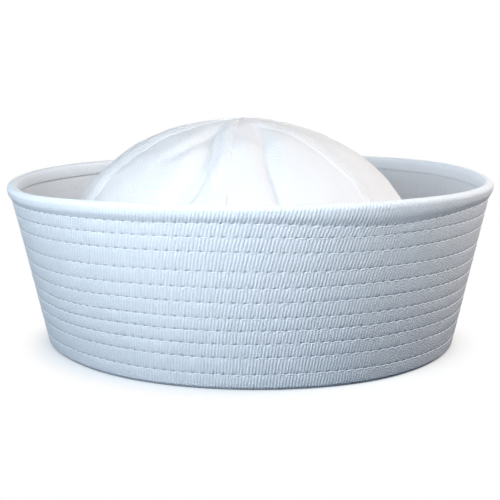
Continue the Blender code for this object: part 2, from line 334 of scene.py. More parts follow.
class BrimForm:
    """The brim's cone and the places of its layers, worked out from its settings."""

    def __init__(self, sizes, crown_cloth):
        self.sizes = sizes
        slant = math.atan2(sizes.rim_radius - sizes.base_radius, sizes.rim_height)
        self.sine, self.cosine = math.sin(slant), math.cos(slant)
        self.inner_face = -2.0 * sizes.ply - sizes.gap
        self.hook_inner = self.inner_face - sizes.gap
        self.hook_back = self.hook_inner - sizes.ply
        self.roll_top = self.up_at_height(sizes.rim_height, 0.5 * self.inner_face)
        hem_outer = sizes.base_radius + self.inner_face - sizes.gap
        self.hem_inner = hem_outer - 2.0 * crown_cloth - sizes.gap

    def up_at_height(self, height, out):
        return (height + out * self.sine) / self.cosine

    def slanted(self, radius, height):
        """(up, out) of a point that is given by its radius and height."""
        aside = radius - self.sizes.base_radius
        return (
            aside * self.sine + height * self.cosine,
            aside * self.cosine - height * self.sine,
        )

    def outward(self, azimuth):
        return spin(self.cosine, -self.sine, azimuth)

    def place(self, up, out, azimuth):
        """Where the soft brim has the points `up` its slant and `out` from its outer face."""
        sizes = self.sizes
        turn = np.radians(azimuth)
        girth = sizes.base_radius
        drift = soft_noise(3, 0.030, girth * np.sin(turn), girth * np.cos(turn), up * 1.5)
        up = up + sizes.drift * drift * ease(up, 0.002, 0.008) * (1.0 - ease(up, 0.072, 0.078))
        up = up - MM * around(ROWS_DOWN, azimuth) * read_off(SAG_SHARE, up / MM)
        radius = sizes.base_radius + up * self.sine + out * self.cosine
        height = up * self.cosine - out * self.sine
        share = height / sizes.rim_height
        wander = around(BASE_OUT, azimuth) * (1.0 - share) + around(RIM_OUT, azimuth) * share
        return spin(radius + MM * wander, height + MM * around(RIM_UP, azimuth) * share, azimuth)


def channels(start, out, steps, side):
    """The quilted face: puffed channels with a row of stitching at the top of each.

    A point of a profile is (up, out), and on quilted cloth the four values of PLAIN follow.
    """
    points, below = [], start
    for row in ROW_HEIGHTS:
        for step in range(1, steps + 1):
            share = 0.5 - 0.5 * math.cos(math.pi * step / steps)
            up = below + (row - below) * share
            puff = math.sin(math.pi * share) if step < steps else 0.0
            gap = min(row - up, up - below if below > start else FAR)
            points.append((up, out, puff, gap, puff, side))
        below = row
    return points


def outer_ply_profile(form):
    """From behind the brim's foot, round the fold, up the outside, over the rim and down inside."""
    sizes = form.sizes
    ply, soft, hem = sizes.ply, 0.3 * sizes.ply, form.hem_inner
    foot = [(form.up_at_height(ply, -ply), -ply)]
    for place in ((hem + soft, ply), (hem, ply - soft), (hem, soft), (hem + soft, 0.0)):
        foot.append(form.slanted(*place))
    centre = sizes.base_radius - sizes.fold_radius
    fold = []
    for angle in (0, 30, 60):
        turn = math.radians(angle)
        radius = centre + sizes.fold_radius * math.sin(turn)
        fold.append(form.slanted(radius, sizes.fold_radius * (1.0 - math.cos(turn))))
    fold += [(sizes.fold_radius, 0.0), (2.0 * sizes.fold_radius, 0.0)]
    profile = foot + smooth_path(fold, 3)[:-3]
    profile += channels(sizes.fold_radius, 0.0, steps=7, side=1.0)

    stitched = ROW_HEIGHTS[-1]
    height = form.roll_top - stitched
    half = 0.5 * (sizes.welt_proud - form.hook_back)
    middle = sizes.welt_proud - half
    hook = sizes.hook_depth
    outline = [(stitched + up * height, out * sizes.welt_proud) for up, out in WELT_SHAPE]
    for angle in (20, 50, 90, 130, 160):
        turn = math.radians(angle)
        rise = form.roll_top - 0.9 * half * (1.0 - math.sin(turn))
        outline.append((rise, middle + half * math.cos(turn)))
    for drop, bend in HOOK_SHAPE:
        outline.append((form.roll_top - drop * hook, form.hook_back + bend * ply))
    for up, out in smooth_path(outline, 3)[1:]:
        row_gap = up - stitched if out > middle + 0.3 * half else FAR
        pucker, side = (0.8, -1.0) if out < middle - 0.6 * half else (0.55, 1.0)
        profile.append((up, out, 0.0, row_gap, pucker, side))
    return profile + [
        (form.roll_top - hook, form.hook_inner),
        (form.roll_top - LIP * ply, form.hook_inner),
        (form.roll_top - ply, 0.5 * form.inner_face),
        (form.roll_top - LIP * ply, -ply),
    ]


def inner_ply_profile(form):
    """The layer that faces the crown, with its quilted side inwards."""
    sizes, face = form.sizes, form.inner_face
    outer = -sizes.ply - sizes.gap
    low = form.up_at_height(sizes.ply + sizes.gap, outer)
    high = form.roll_top - LIP * sizes.ply - sizes.gap
    back = [(high, outer), (0.5 * (high + low), outer), (low, outer), (low, face)]
    return back + channels(low, face, steps=5, side=-1.0) + [(high, face)]


def wale_shift(height):
    """How far round, in degrees, a wale has leant by this height up the slant."""
    fine = np.linspace(-20.0, 110.0, 1301)
    lean = np.radians(read_off(WALE_LEAN, fine))
    radius = FOOT_RADIUS + RADIUS_GROWTH * fine
    shift = np.cumsum(np.tan(lean[:-1]) / radius[:-1] * np.diff(fine))
    return np.interp(height, fine, np.degrees(np.concatenate([[0.0], shift])))


def layer_mesh(name, form, profile, columns, wales):
    """A closed ring with the weave's and the stitching's coordinates as two UV maps."""
    up, out, puff, row_gap, pucker, side = np.array([(*row, *PLAIN)[:6] for row in profile]).T
    count = len(up)
    azimuth = -180.0 + 360.0 / columns * np.arange(columns)
    points = form.place(up[:, None], out[:, None], azimuth[None, :]).reshape(-1, 3)
    mesh = bpy.data.meshes.new(name)
    mesh.from_pydata(points.tolist(), [], ring_faces(count, columns, closed=True))

    ring, strip = np.divmod(np.arange(count * columns), columns)
    above = (ring + 1) % count
    along = np.concatenate([[0.0], np.cumsum(np.hypot(np.diff(up), np.diff(out)))])
    start = int(np.argmax(puff > 0.0))
    along = (along - along[start] + up[start]) / MM
    closing = along[-1] + math.hypot(up[0] - up[-1], out[0] - out[-1]) / MM
    low, high = along[ring], np.where(ring + 1 < count, along[above], closing)
    left = azimuth[strip]
    right = left + 360.0 / columns
    pitch = math.tau * MIDDLE_RADIUS / wales

    rows, counts, starts = np.array(STITCH_ROWS).T
    nearest = np.abs((0.5 * (up[ring] + up[above]))[:, None] - rows[None, :]).argmin(axis=1)
    near_row = np.minimum(row_gap[ring], row_gap[above]) < FAR
    weave, stitching = np.empty((2, len(ring), 4, 2))
    foot, top = (low, up[ring]), (high, up[above])
    corners = (left, foot), (right, foot), (right, top), (left, top)
    for corner, (degrees, (place, height)) in enumerate(corners):
        weave[:, corner, 0] = (degrees - wale_shift(place)) * wales / 360.0
        weave[:, corner, 1] = place / pitch
        stitching[:, corner, 0] = degrees * counts[nearest] / 360.0 - starts[nearest]
        stitching[:, corner, 1] = np.where(near_row, (height - rows[nearest]) / MM, NO_ROW)
    for map_name, values in (("weave", weave), ("stitching", stitching)):
        mesh.uv_layers.new(name=map_name).data.foreach_set("uv", values.ravel())

    outward = form.outward(np.tile(azimuth, count)) * np.repeat(side, columns)[:, None]
    add_directions(mesh, outward=outward)
    for label, values in (("puff_share", puff), ("row_gap", row_gap), ("pucker_share", pucker)):
        data = mesh.attributes.new(label, "FLOAT", "POINT").data
        data.foreach_set("value", np.repeat(values, columns))
    return mesh


def add_directions(mesh, **directions):
    """Gives each point of a mesh these named directions."""
    for label, values in directions.items():
        data = mesh.attributes.new(label, "FLOAT_VECTOR", "POINT").data
        data.foreach_set("vector", values.ravel())


# Shape of the crown


class CrownForm:
    """The crown's surface, worked out from its sections and settings."""

    LAP_FADE = (0.009, 0.020)
    LIFT_FADE = (0.003, 0.008)
    TIP_RADIUS = 0.0002
    STEPS = 12

    def __init__(self, sizes, gap):
        self.sizes = sizes
        self.gap = gap
        rows = [np.array(row, float) * MM for row in reversed(CROWN_SECTIONS)]
        rows = [np.array((rows[1][0], -rows[1][1]))] + rows + [2.0 * rows[-1] - rows[-2]]
        curve = [rows[1]]
        for index in range(1, len(rows) - 2):
            for step in range(1, self.STEPS + 1):
                curve.append(through(*rows[index - 1 : index + 3], step / self.STEPS))
        curve = np.array(curve)
        self.height, self.radius = curve[:, 0], curve[:, 1]
        self.distance = np.concatenate([[0.0], np.cumsum(np.hypot(*np.diff(curve, axis=0).T))])
        fall, growth = (np.gradient(part, self.distance) for part in (self.height, self.radius))
        self.slope = np.arctan2(-fall, growth)
        self.hem = self.distance[-1]

    def radius_at(self, distance):
        return np.maximum(np.interp(distance, self.distance, self.radius), self.TIP_RADIUS)

    def dents(self, azimuth, distance, radius):
        """Depth of the folds, each steepest at its crease and fading out at both ends."""
        total = 0.0
        for left, right, rows in CROWN_DENTS:
            down, line, depth = np.array(smooth_path(rows, 6)).T
            aside = azimuth - np.interp(distance / MM, down, line)
            aside = np.radians(np.mod(aside + 180.0, 360.0) - 180.0)
            aside = aside * radius / MM / np.where(aside < 0.0, left, right)
            near = (1.0 - np.minimum(np.sqrt(aside * aside + CREASE_ROUNDING), 1.0)) ** 2
            total = total + np.interp(distance / MM, down, depth) * MM * near
        return total

    def wrinkles(self, azimuth, distance, radius):
        """Soft unevenness, and puckers that the topstitching draws beside each seam."""
        turn = np.radians(azimuth)
        place = (radius * np.sin(turn), radius * np.cos(turn), distance * 0.6)
        fade = ease(distance, 0.006, 0.030) * (1.0 - ease(distance, 0.120, 0.150))
        soft = soft_noise(11, 0.013, *place) + 0.5 * soft_noise(12, 0.006, *place)
        half = 0.5 * GORE_ANGLE
        aside = np.abs(np.mod(azimuth - self.sizes.first_seam + half, GORE_ANGLE) - half)
        beside = np.exp(-((np.radians(aside) * radius / 0.008) ** 2))
        drawn = soft_noise(13, 0.0045, distance * 1.5, np.radians(azimuth) * 0.01)
        return self.sizes.wrinkle * fade * (soft + 0.6 * beside * drawn)

    def place(self, azimuth, distance, lift):
        """A point above the outer face by `lift`, or inside it where that is negative."""
        sizes = self.sizes
        radius = self.radius_at(distance)
        height = np.interp(distance, self.distance, self.height)
        slope = np.interp(distance, self.distance, self.slope)
        from_seam = np.mod(azimuth - sizes.first_seam, GORE_ANGLE) / GORE_ANGLE
        puff = sizes.puff * np.sin(math.pi * from_seam) ** 2
        puff = puff * ease(distance, 0.010, 0.040) * (1.0 - ease(distance, 0.110, 0.150))
        relief = self.wrinkles(azimuth, distance, radius) - self.dents(azimuth, distance, radius)
        out = lift + puff + relief
        follow = MM * around(BASE_OUT, azimuth) * (1.0 - ease(height, 0.0, sizes.follow_height))
        height = height + out * np.cos(slope)
        points = spin(radius + out * np.sin(slope) + follow, height, azimuth)
        points[..., 0] += sizes.lean * ease(height, 0.0, sizes.lean_height)
        return points

    def outward(self, azimuth, distance):
        slope = np.interp(distance, self.distance, self.slope)
        return spin(np.sin(slope), np.cos(slope), azimuth)

    def lap_width(self, distance):
        return self.sizes.lap * ease(self.radius_at(distance), *self.LAP_FADE)

    def lap_height(self, distance, share):
        """Height of the lap's outer face, from its fold at share 0 to where it has climbed up."""
        sizes = self.sizes
        height = sizes.fold_rise + (sizes.lap_rise - sizes.fold_rise) * share
        return height * ease(self.radius_at(distance), *self.LIFT_FADE)

    def seam_relief(self, distance, from_fold):
        """The felled seam's padding: full between its rows of topstitching, drawn in along them."""
        sizes = self.sizes

        def ridge(middle, width):
            return np.exp(-(((from_fold - middle) / width) ** 2))

        full = 0.8 * ridge(0.4 * sizes.edge_row, 0.0006)
        full = full + 0.6 * ridge(0.5 * (sizes.edge_row + sizes.inner_row), 0.0016)
        drawn = ridge(sizes.edge_row, 0.00045) + ridge(sizes.inner_row, 0.00055)
        relief = sizes.seam_ridge * (full - 0.9 * drawn)
        return relief * ease(self.radius_at(distance), *self.LAP_FADE)


def gore_mesh(name, form, start):
    """One gore as a closed sheet, with its lap, its soft edges and its weave's coordinates."""
    sizes = form.sizes
    tip = [0.0004, 0.001, 0.002, 0.0035, 0.005, 0.007, 0.009]
    distance = np.concatenate([tip, np.arange(0.011, form.hem, 0.00155)])
    distance = np.append(distance[distance < form.hem - 0.0008], form.hem)[:, None]
    radius = form.radius_at(distance)
    end = start + GORE_ANGLE
    lap = np.degrees(form.lap_width(distance) / radius)
    clearance = np.minimum(np.degrees(form.gap / radius), 3.0)
    ramp = np.minimum(np.degrees(sizes.ramp / radius), 20.0)
    hidden, seam, foot = start - lap + clearance, start + clearance, end - lap - ramp

    cloth = sizes.cloth
    lifted = ease(radius, *form.LIFT_FADE)
    fold, climbed = form.lap_height(distance, 0.0), form.lap_height(distance, 1.0)
    under = (sizes.lap_gap + cloth) * lifted - cloth
    parts = []

    def add(low, high, steps, lift_at):
        """Columns from low to high, each with its lift."""
        share = (np.arange(steps) / steps)[None, :]
        azimuth = low + (high - low) * share
        parts.append((azimuth, lift_at(share) * np.ones_like(azimuth)))

    def lap_face(share):
        from_fold = np.radians(lap * (1.0 - share)) * radius
        return form.lap_height(distance, 1.0 - share) + form.seam_relief(distance, from_fold)

    add(hidden, seam, 3, lambda share: 0.0)
    add(seam, foot, 46, lambda share: 0.0)
    add(foot, end - lap, 7, lambda share: climbed * ease(share, 0.0, 1.0))
    add(end - lap, end, 20, lap_face)
    edge = fold + form.seam_relief(distance, 0.0)
    for angle in (0, 25, 50, 70, 90):
        turn = math.radians(angle)
        shoulder = np.degrees(sizes.fold_width * math.sin(turn) / radius) * lifted
        parts.append((end + shoulder, under + (edge - under) * math.cos(turn)))
    add(end, end - lap, 4, lambda share: under)
    add(end - lap, foot, 4, lambda share: under - (under + cloth) * ease(share, 0.0, 1.0))
    add(foot, seam, 24, lambda share: -cloth)
    add(seam, hidden, 2, lambda share: -cloth)
    for below in (cloth, 0.5 * cloth):
        parts.append((hidden, -below * np.ones_like(radius)))

    azimuth, lift = (np.concatenate(part, axis=1) for part in zip(*parts))
    points = form.place(azimuth, distance, lift)
    rows, columns = azimuth.shape
    faces = ring_faces(rows, columns, closed=False)
    faces.append([*range(columns)])
    faces.append([*reversed(range((rows - 1) * columns, rows * columns))])
    mesh = bpy.data.meshes.new(name)
    mesh.from_pydata(points.reshape(-1, 3).tolist(), [], faces)

    across = np.radians(azimuth - (start + 0.5 * GORE_ANGLE)) * radius / MM
    down = np.broadcast_to(distance / MM, across.shape)
    flat = np.stack([across, down], axis=-1).reshape(-1, 2)
    corners = np.empty(len(mesh.loops), int)
    mesh.loops.foreach_get("vertex_index", corners)
    mesh.uv_layers.new(name="weave").data.foreach_set("uv", flat[corners].ravel())
    return mesh


# Node trees


class Value:
    """An output in a node tree. Sums and products of values add the nodes that work them out."""

    def __init__(self, tree, socket):
        self.tree, self.socket = tree, socket

    def math(self, operation, *others):
        values = dict(enumerate((self, *others)))
        return put(self.tree, "ShaderNodeMath", values, operation=operation)

    __add__ = partialmethod(math, "ADD")
    __sub__ = partialmethod(math, "SUBTRACT")
    __mul__ = partialmethod(math, "MULTIPLY")
    __truediv__ = partialmethod(math, "DIVIDE")
    power = partialmethod(math, "POWER")

    def hump(self, width):
        """1 where this is 0, falling off smoothly to either side."""
        scaled = self / width
        return (scaled * scaled * -1.0).math("EXPONENT")

    def wave(self):
        """0 at half numbers and 1 at whole ones."""
        return (self * math.tau).math("COSINE") * 0.5 + 0.5

    def rise(self, low, high):
        """0 at low, 1 at high, with a smooth rise between them, or a fall if low is the higher."""
        values = {"Value": self, "From Min": low, "From Max": high}
        return put(self.tree, "ShaderNodeMapRange", values, interpolation_type="SMOOTHSTEP")


def feed(socket, value):
    if isinstance(value, Value):
        value.tree.links.new(value.socket, socket)
    else:
        socket.default_value = value


def put(tree, kind, inputs=(), output=0, **settings):
    """Adds a node and returns one of its outputs."""
    node = tree.nodes.new(kind)
    for key, value in settings.items():
        setattr(node, key, value)
    for key, value in dict(inputs).items():
        feed(node.inputs[key], value)
    return Value(tree, node.outputs[output])


def new_geometry_tree(name, **inputs):
    """A geometry tree with inputs named by kind. Returns it, its geometry and its inputs."""
    tree = bpy.data.node_groups.new(name, "GeometryNodeTree")
    for way in ("INPUT", "OUTPUT"):
        tree.interface.new_socket("Geometry", in_out=way, socket_type="NodeSocketGeometry")
    for kind, labels in inputs.items():
        for label in labels:
            tree.interface.new_socket(label, in_out="INPUT", socket_type="NodeSocket" + kind)
    entry = tree.nodes.new("NodeGroupInput")
    values = {socket.name: Value(tree, socket) for socket in entry.outputs if socket.name}
    return tree, values.pop("Geometry"), values


def finish_tree(tree, geometry, material):
    """Ends a tree in Realize Instances and Set Material."""
    realized = put(tree, "GeometryNodeRealizeInstances", {"Geometry": geometry})
    inputs = {"Geometry": realized, "Material": material}
    painted = put(tree, "GeometryNodeSetMaterial", inputs)
    feed(tree.nodes.new("NodeGroupOutput").inputs["Geometry"], painted)
    return tree


def attribute(tree, name, kind="FLOAT"):
    node = "GeometryNodeInputNamedAttribute"
    return put(tree, node, {"Name": name}, "Attribute", data_type=kind)


def noise(tree, vector, scale, detail=2.0, **seed):
    """Smooth unevenness about a half. A seed, given as W, picks another."""
    inputs = {"Vector": vector, "Scale": scale, "Detail": detail, **seed}
    return put(tree, "ShaderNodeTexNoise", inputs, noise_dimensions="4D" if seed else "3D")


def quilting_tree():
    """Puffs the channels, draws in the rows of stitching and adds small upright wrinkles."""
    tree, geometry, size = new_geometry_tree(
        "Quilting",
        Float=("Channel Puff", "Row Sink", "Sink Width", "Pucker", "Pucker Size", "Seed"),
        Material=("Material",),
    )
    position = put(tree, "GeometryNodeInputPosition")
    stretch = {0: position, 1: (1.0, 1.0, 0.35)}
    upright = put(tree, "ShaderNodeVectorMath", stretch, operation="MULTIPLY")
    crease = noise(tree, upright, size["Pucker Size"].power(-1.0), 1.5, W=size["Seed"]) - 0.5
    fullness = noise(tree, position, 45.0, 1.0, W=size["Seed"]) * 1.2 + 0.4
    puff = attribute(tree, "puff_share") * size["Channel Puff"] * fullness
    sink = attribute(tree, "row_gap").hump(size["Sink Width"]) * size["Row Sink"]
    sink = sink * (crease * 3.0 + 1.0)
    pucker = attribute(tree, "pucker_share") * size["Pucker"] * crease * 4.0
    push = {0: attribute(tree, "outward", "FLOAT_VECTOR"), "Scale": puff - sink + pucker}
    move = put(tree, "ShaderNodeVectorMath", push, operation="SCALE")
    moved = put(tree, "GeometryNodeSetPosition", {"Geometry": geometry, "Offset": move})
    smooth = put(tree, "GeometryNodeSetShadeSmooth", {"Geometry": moved})
    return finish_tree(tree, smooth, size["Material"])


def stitching_tree():
    """Lays one stitch on each point, along `along` and with `outward` as its upper side."""
    tree, geometry, size = new_geometry_tree(
        "Stitching",
        Float=("Stitch Length", "Thread Radius", "Start Rise", "Unevenness"),
        Int=("Seed",),
        Material=("Material",),
    )
    run, thread, rise = size["Stitch Length"], size["Thread Radius"], size["Start Rise"]

    def at(x, y, z):
        return put(tree, "ShaderNodeCombineXYZ", {0: x, 1: y, 2: z})

    def aligned(name, inputs, **axes):
        inputs["Vector"] = attribute(tree, name, "FLOAT_VECTOR")
        return put(tree, "FunctionNodeAlignRotationToVector", inputs, **axes)

    curve = {
        "Resolution": 7,
        "Start": at(run * -0.53, rise * -0.9, thread * -1.4),
        "Start Handle": at(run * -0.36, rise * 0.35, thread * 1.2),
        "End Handle": at(run * 0.20, 0.0, thread * 1.3),
        "End": at(run * 0.49, rise * -0.05, thread * -1.6),
    }
    path = put(tree, "GeometryNodeCurvePrimitiveBezierSegment", curve)
    circle = {"Resolution": 5, "Radius": thread}
    section = put(tree, "GeometryNodeCurvePrimitiveCircle", circle, mode="RADIUS")
    tube = {"Curve": path, "Profile Curve": section, "Fill Caps": True}
    stitch = put(tree, "GeometryNodeCurveToMesh", tube)
    smooth = put(tree, "GeometryNodeSetShadeSmooth", {"Geometry": stitch})
    along = aligned("along", {}, axis="X")
    upper = aligned("outward", {"Rotation": along}, axis="Z", pivot_axis="X")
    limits = {2: size["Unevenness"] * -1.0, 3: size["Unevenness"], 8: size["Seed"]}
    angle = put(tree, "FunctionNodeRandomValue", limits, 1)
    about_up = {"Axis": (0.0, 0.0, 1.0), "Angle": angle}
    turn = put(tree, "FunctionNodeAxisAngleToRotation", about_up)
    turned = {"Rotation": upper, "Rotate By": turn}
    rotation = put(tree, "FunctionNodeRotateRotation", turned, rotation_space="LOCAL")
    copies = {"Points": geometry, "Instance": smooth, "Rotation": rotation}
    laid = put(tree, "GeometryNodeInstanceOnPoints", copies)
    return finish_tree(tree, laid, size["Material"])


def new_object(name, data):
    obj = bpy.data.objects.new(name, data)
    bpy.context.scene.collection.objects.link(obj)
    return obj


def run_tree(mesh, name, tree, values):
    """Runs a geometry tree on a mesh and returns an object with the plain mesh that it makes."""
    piece = new_object(name, mesh)
    modifier = piece.modifiers.new(tree.name, "NODES")
    modifier.node_group = tree
    for item in tree.interface.items_tree:
        if item.in_out == "INPUT" and item.name in values:
            modifier[item.identifier] = values[item.name]
    graph = bpy.context.evaluated_depsgraph_get()
    made = bpy.data.meshes.new_from_object(
        piece.evaluated_get(graph), preserve_all_data_layers=True, depsgraph=graph
    )
    piece.modifiers.clear()
    piece.data = made
    made.name = name
    bpy.data.meshes.remove(mesh)
    if not made.polygons:
        raise RuntimeError(name + " came out empty")
    return piece


def add_object(name, mesh, material):
    mesh.materials.append(material)
    mesh.shade_smooth()
    return new_object(name, mesh)


def face_outwards(mesh):
    bm = bmesh.new()
    bm.from_mesh(mesh)
    bmesh.ops.recalc_face_normals(bm, faces=bm.faces)
    bm.to_mesh(mesh)
    bm.free()


def hand_over(obj, slot, *nodes):
    """Puts a finished piece on the cap's body, in place of these nodes."""
    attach(obj, BODY)
    if nodes:
        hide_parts(*nodes)


# Materials


def new_material(name, **inputs):
    """A material whose shader has these inputs. Returns it, its tree and its shader."""
    material = bpy.data.materials.new(name)
    material.use_nodes = True
    shader = material.node_tree.nodes["Principled BSDF"]
    for key, value in inputs.items():
        shader.inputs[key.replace("_", " ")].default_value = value
    return material, material.node_tree, shader


def cotton(name, tint, sheen=0.12, roughness=0.88):
    """A matt cotton material, its tree and its shader."""
    return new_material(
        name,
        Base_Color=shade(tint),
        Roughness=roughness,
        Specular_IOR_Level=0.25,
        Sheen_Weight=sheen,
        Sheen_Roughness=0.5,
    )


def weave_coordinates(tree, name):
    """The two numbers of a UV map, and its vector."""
    vector = put(tree, "ShaderNodeUVMap", uv_map=name)
    across, up = (put(tree, "ShaderNodeSeparateXYZ", {0: vector}, axis) for axis in (0, 1))
    return across, up, vector


def mixed(tree, low, high, share):
    return put(tree, "ShaderNodeMix", {"Factor": share, 6: low, 7: high}, 2, data_type="RGBA")


def shade(tint, brightness=1.0):
    return (*(part * brightness for part in tint), 1.0)


def dress(tree, shader, tint, start, layers, height, depth):
    """Gives the shader its colour and its normal.

    The colour starts as the tint at the brightness `start`, and each layer mixes in its share of
    another brightness. The normal comes from a height in units of `depth`.
    """
    body = shade(tint, start)
    for brightness, share in layers:
        body = mixed(tree, body, shade(tint, brightness), share)
    feed(shader.inputs["Base Color"], body)
    relief = {"Height": height, "Distance": depth, "Strength": 1.0}
    feed(shader.inputs["Normal"], put(tree, "ShaderNodeBump", relief))


def drill_material(name, tint, depth, holes):
    """Coarse drill: leaning wales of twisted yarn, drawn in and pierced along the stitching."""
    # Its colour holds painted shade between the wales, along the rows and in the needle holes, and a
    # painted highlight on the top of the roll.
    material, tree, shader = cotton(name, tint)
    across, up, weave = weave_coordinates(tree, "weave")
    wobble = noise(tree, weave, 0.35) - 0.5
    tremble = noise(tree, weave, 1.6) - 0.5
    wale = across + wobble * 0.5 + tremble * 0.55
    ridge = wale.wave().power(0.75)
    yarn = (up * 1.3 + wale * 0.5 + tremble * 1.5).wave()
    patch = noise(tree, weave, 0.12, 1.0)
    fuzz = noise(tree, weave, 1.9, 3.0)
    # The top of the roll: its wales are flattened there, and its colour is painted lighter, a
    # painted highlight where the roll faces the light.
    roll_wear_and_highlight = up.rise(52.4, 57.0) * up.rise(61.5, 59.5)
    strength = (patch * 0.7 + 0.65) * (roll_wear_and_highlight * -0.15 + 1.0)
    height = ridge * strength * (yarn * 0.5 + 0.7) + fuzz * 1.6

    count, gap, _ = weave_coordinates(tree, "stitching")
    slanted = (count - count.math("ROUND")) * 4.6 - gap * 0.6
    below_welt = up.rise(51.0, 49.0)
    # Needle holes, carved into the height and also painted dark as painted shade.
    hole = slanted.hump(0.50) * (gap - 0.28).hump(0.42) * holes
    # A groove along each row, carved into the height and also painted darker as painted shade.
    groove = (gap - 0.1).hump(0.42) * (fuzz * 2.2 - 0.1) * (below_welt * 0.7 + 0.3)
    pinch = count.wave() * gap.hump(0.9) * holes
    height = height * (groove * -0.5 + 1.0) - hole * 1.2 - pinch * 0.45

    layers = (
        # darker between the wales: painted shade in their grooves
        (1.0, ridge * 0.7 + 0.3),
        (0.94, (patch - 0.45) * 0.8),
        (0.84, (fuzz - 0.45) * 1.6),
        # painted highlight on the top of the roll
        (1.14, roll_wear_and_highlight * 0.6),
        # painted shade along the rows
        (0.92, groove * 0.4),
        # painted shade in the needle holes
        (0.55, hole * 0.6),
    )
    dress(tree, shader, tint, 0.84, layers, height, depth)
    return material


def twill_material(cloth):
    """Fine twill of the crown: close diagonal lines in each gore's own grain."""
    material, tree, shader = cotton("crown_twill", cloth.twill)
    across, down, weave = weave_coordinates(tree, "weave")
    lean = math.radians(40.0)
    pitch = cloth.twill_pitch / MM
    wobble = noise(tree, weave, 0.5) * 0.5 + noise(tree, weave, 0.15) * 1.6
    line = (across * math.cos(lean) - down * math.sin(lean)) / pitch + wobble
    ridge = line.wave()
    yarn = (down * math.cos(lean) + across * math.sin(lean)) / (0.8 * pitch) + line * 0.5
    fuzz = noise(tree, weave, 1.6, 3.0)
    patch = noise(tree, weave, 0.05)
    # darker between the twill lines: painted shade in their grooves
    layers = ((1.02, ridge * 0.7 + 0.3), (0.95, (patch - 0.45) * 0.6))
    height = ridge * (yarn.wave() * 0.3 + 0.7) + fuzz * 0.8
    dress(tree, shader, cloth.twill, 0.87, layers, height, cloth.twill_depth)
    return material


def thread_material(name, tint):
    """Sewing thread, a little smoother than the cloth."""
    material, tree, shader = cotton(name, tint, sheen=0.2, roughness=0.6)
    twist = noise(tree, put(tree, "ShaderNodeTexCoord", output="Object"), 2600.0, 1.0)
    dress(tree, shader, tint, 0.88, ((1.0, twist),), twist, depth=0.00003)
    return material


# Stitches


def point_mesh(name, rows):
    """Loose points for the stitching tree, from rows of places and their two directions."""
    places, along, outward = (np.concatenate(part) for part in zip(*rows))
    mesh = bpy.data.meshes.new(name)
    mesh.from_pydata(places.tolist(), [], [])
    add_directions(mesh, along=along, outward=outward)
    return mesh


def brim_stitch_points(name, form, out, side):
    """The middle of every stitch on one face of the brim."""
    step = 0.2  # degrees to either side, for the direction of the row
    rows = []
    for row, count, start in STITCH_ROWS:
        azimuth = (np.arange(count) + 0.5 + start) * 360.0 / count
        run = form.place(row, out, azimuth + step) - form.place(row, out, azimuth - step)
        rows.append((form.place(row, out, azimuth), run * side, form.outward(azimuth) * side))
    return point_mesh(name, rows)


def seam_stitch_points(name, form, pitch, thread):
    """The middle of every stitch on the crown's felled seams."""
    sizes = form.sizes
    step = 0.0005  # up and down the seam, for its direction
    distance = np.arange(0.017, form.hem - 0.004, pitch)
    share = form.lap_width(distance) / sizes.lap
    rows = []
    for index in range(len(GORE_NAMES)):
        edge = sizes.first_seam + (index + 1) * GORE_ANGLE
        for row in (sizes.edge_row, sizes.inner_row):
            lift = form.lap_height(distance, row / sizes.lap) + form.seam_relief(distance, row)
            lift = lift + 0.3 * thread

            def azimuth(offset):
                return edge - np.degrees(row * share / form.radius_at(distance + offset))

            def at(offset):
                return form.place(azimuth(offset), distance + offset, lift)

            rows.append((at(0.0), at(step) - at(-step), form.outward(azimuth(0.0), distance)))
    return point_mesh(name, rows)


def sewn(mesh, name, stitches, material, run, thread, rise):
    tree = bpy.data.node_groups.get("Stitching") or stitching_tree()
    values = {
        "Stitch Length": run,
        "Thread Radius": thread,
        "Start Rise": rise,
        "Unevenness": stitches.unevenness,
        "Seed": stitches.seed,
        "Material": material,
    }
    return run_tree(mesh, name, tree, values)


# Operators


def brim_form(scene):
    return BrimForm(scene.cap_brim, scene.cap_crown.cloth)


def crown_form(scene):
    return CrownForm(scene.cap_crown, scene.cap_brim.gap)


def quilted_layer(scene, name, profile, material, columns, softness):
    brim = scene.cap_brim
    mesh = layer_mesh(name, brim_form(scene), profile, columns, scene.cap_cloth.wales)
    tree = bpy.data.node_groups.get("Quilting") or quilting_tree()
    values = {
        "Channel Puff": brim.puff * softness,
        "Row Sink": brim.sink * softness,
        "Sink Width": brim.sink_width,
        "Pucker": brim.pucker,
        "Pucker Size": brim.pucker_size,
        "Seed": float(scene.cap_stitches.seed),
        "Material": material,
    }
    piece = run_tree(mesh, name, tree, values)
    face_outwards(piece.data)
    return piece


class CAP_OT_outer_cloth(bpy.types.Operator):
    """Make the coarse drill on the outside of the brim, rolled over the rim"""

    bl_idname = "sailor_cap.outer_cloth"
    bl_label = "Brim: outer cloth"

    def execute(self, context):
        scene = context.scene
        cloth, columns = scene.cap_cloth, scene.cap_brim.columns
        material = drill_material("brim_drill", tuple(cloth.drill), cloth.wale_depth, holes=1.0)
        profile = outer_ply_profile(brim_form(scene))
        piece = quilted_layer(scene, "brim_outer_cloth", profile, material, columns, softness=1.0)
        hand_over(piece, "white_drill", "brim_outer_ply")
        return {"FINISHED"}


class CAP_OT_inner_cloth(bpy.types.Operator):
    """Make the plainer cloth of the brim that faces the crown"""

    bl_idname = "sailor_cap.inner_cloth"
    bl_label = "Brim: inner cloth"

    def execute(self, context):
        scene = context.scene
        tint, depth = tuple(scene.cap_cloth.lining), scene.cap_cloth.wale_depth * 0.3
        material = drill_material("brim_lining", tint, depth, holes=0.3)
        profile = inner_ply_profile(brim_form(scene))
        piece = quilted_layer(
            scene, "brim_inner_cloth", profile, material, columns=480, softness=0.55
        )
        hand_over(piece, "white_lining_cloth", "brim_inner_ply")
        return {"FINISHED"}


